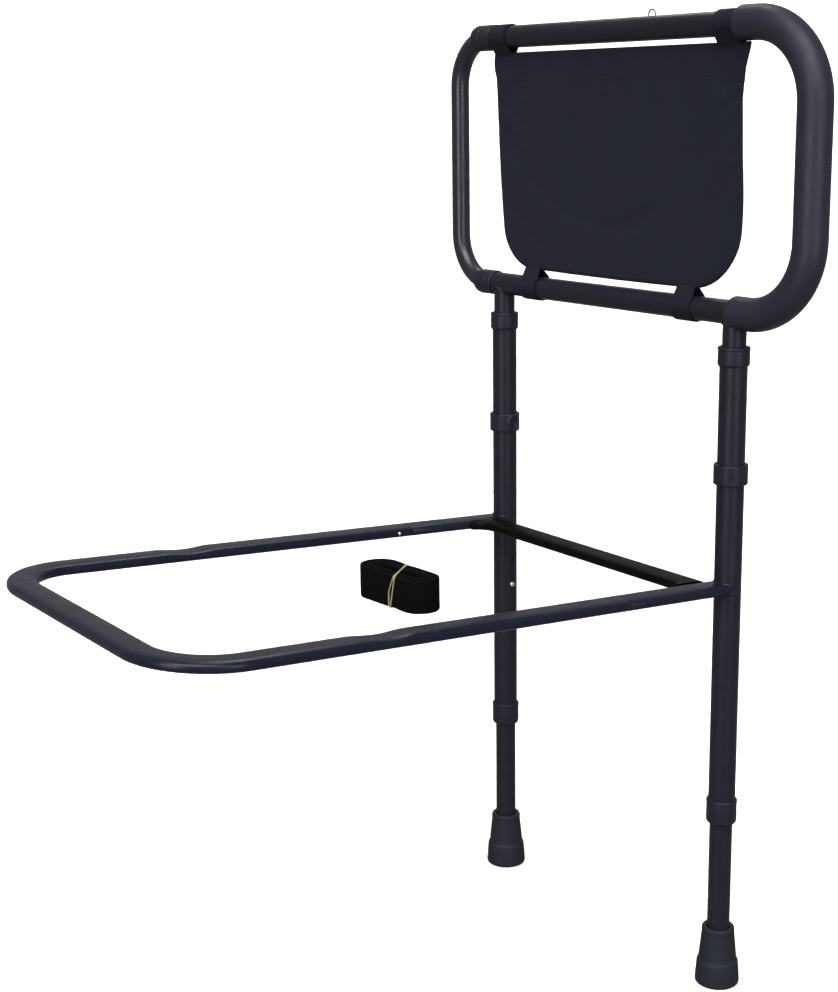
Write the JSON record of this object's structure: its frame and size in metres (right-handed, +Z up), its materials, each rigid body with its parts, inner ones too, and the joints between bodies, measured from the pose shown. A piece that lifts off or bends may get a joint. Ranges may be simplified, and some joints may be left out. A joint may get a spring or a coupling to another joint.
{
  "type": "bed assist rail",
  "caption": "Bed assist rail: telescoping rubber-tipped legs, an oval-tube frame that slides under the mattress, a lift-off padded handle hoop with a fabric pocket, and a rolled safety strap.",
  "frame": {"origin": "centre of the bounding box on the floor plane, under the feet", "axes": "+Z up, +X from the left leg to the right leg with its padded end, -Y out along the under-mattress frame"},
  "size_m": [0.59, 0.683, 1.0418],
  "materials": {
    "navy_coat": "satin",
    "black_coat": "satin",
    "collar_plastic": "satin",
    "foot_rubber": "matte",
    "grip_foam": "soft foam",
    "pocket_fabric": "woven",
    "webbing": "woven webbing",
    "band_rubber": "matte",
    "button_steel": "bright",
    "spring_steel": "plain"
  },
  "bodies": {
    "frame": {"outer_leg_left": "navy_coat", "outer_leg_right": "navy_coat", "top_collar_left": "collar_plastic", "top_collar_right": "collar_plastic", "guard_ring_left": "collar_plastic", "guard_ring_right": "collar_plastic", "bottom_collar_left": "collar_plastic", "bottom_collar_right": "collar_plastic", "rear_arm_left": "navy_coat", "rear_arm_right": "navy_coat", "cross_bar": "black_coat", "loop_spring_left": "spring_steel", "loop_spring_right": "spring_steel"},
    "handle": {"handle_hoop": "navy_coat", "end_tube": "navy_coat", "end_sleeve_top": "collar_plastic", "end_sleeve_lower": "collar_plastic", "grip": "grip_foam", "stem_left": "navy_coat", "stem_right": "navy_coat", "wire_eyelet": "button_steel", "pocket_back_panel": "pocket_fabric", "pocket_front_panel": "pocket_fabric", "pocket_tab_left": "pocket_fabric", "pocket_tab_right": "pocket_fabric", "pocket_strap_left": "pocket_fabric", "pocket_strap_right": "pocket_fabric", "stem_spring_left": "spring_steel", "stem_spring_right": "spring_steel"},
    "front_loop": {"front_loop": "navy_coat"},
    "strap": {"strap_hank": "webbing", "rubber_band": "band_rubber"},
    "lower_leg_left": {"lower_leg_left": "navy_coat", "foot_left": "foot_rubber", "foot_washer_left": "button_steel", "leg_spring_left": "spring_steel"},
    "leg_button_left": {"leg_button_left": "button_steel"},
    "stem_button_left": {"stem_button_left": "collar_plastic"},
    "loop_button_left": {"loop_button_left": "button_steel"},
    "lower_leg_right": {"lower_leg_right": "navy_coat", "foot_right": "foot_rubber", "foot_washer_right": "button_steel", "leg_spring_right": "spring_steel"},
    "leg_button_right": {"leg_button_right": "button_steel"},
    "stem_button_right": {"stem_button_right": "collar_plastic"},
    "loop_button_right": {"loop_button_right": "button_steel"}
  },
  "joints": [
    {"name": "handle_lift", "type": "slide", "parent": "frame", "child": "handle", "axis": [0, 0, 1], "range_m": [0, 0.16], "deforming": ["stem_button_left", "stem_button_right", "stem_spring_left", "stem_spring_right"]},
    {"name": "front_loop_pull", "type": "slide", "parent": "frame", "child": "front_loop", "axis": [0, -0.9981, 0.0621], "range_m": [0, 0.065], "deforming": ["loop_button_left", "loop_button_right", "loop_spring_left", "loop_spring_right"]},
    {"name": "leg_height_left", "type": "slide", "parent": "frame", "child": "lower_leg_left", "axis": [0, 0, 1], "range_m": [0, 0.0293], "deforming": ["leg_button_left", "leg_spring_left"]},
    {"name": "leg_button_press_left", "type": "slide", "parent": "lower_leg_left", "child": "leg_button_left", "axis": [-1, 0, 0], "range_m": [0, 0.004], "stiffness_N_per_m": 1500, "springref_m": -0.004, "deforming": ["leg_spring_left"]},
    {"name": "stem_button_press_left", "type": "slide", "parent": "handle", "child": "stem_button_left", "axis": [-1, 0, 0], "range_m": [0, 0.0046], "stiffness_N_per_m": 1500, "springref_m": -0.004, "deforming": ["stem_spring_left"]},
    {"name": "loop_button_press_left", "type": "slide", "parent": "frame", "child": "loop_button_left", "axis": [-1, 0, 0], "range_m": [0, 0.0032], "stiffness_N_per_m": 1500, "springref_m": -0.004, "deforming": ["loop_spring_left"]},
    {"name": "leg_height_right", "type": "slide", "parent": "frame", "child": "lower_leg_right", "axis": [0, 0, 1], "range_m": [0, 0.0293], "deforming": ["leg_button_right", "leg_spring_right"]},
    {"name": "leg_button_press_right", "type": "slide", "parent": "lower_leg_right", "child": "leg_button_right", "axis": [1, 0, 0], "range_m": [0, 0.004], "stiffness_N_per_m": 1500, "springref_m": -0.004, "deforming": ["leg_spring_right"]},
    {"name": "stem_button_press_right", "type": "slide", "parent": "handle", "child": "stem_button_right", "axis": [1, 0, 0], "range_m": [0, 0.0046], "stiffness_N_per_m": 1500, "springref_m": -0.004, "deforming": ["stem_spring_right"]},
    {"name": "loop_button_press_right", "type": "slide", "parent": "frame", "child": "loop_button_right", "axis": [1, 0, 0], "range_m": [0, 0.0032], "stiffness_N_per_m": 1500, "springref_m": -0.004, "deforming": ["loop_spring_right"]},
    {"name": "strap_lift", "type": "slide", "parent": "frame", "child": "strap", "axis": [0, 0, 1], "range_m": [0, 0.1]}
  ]
}
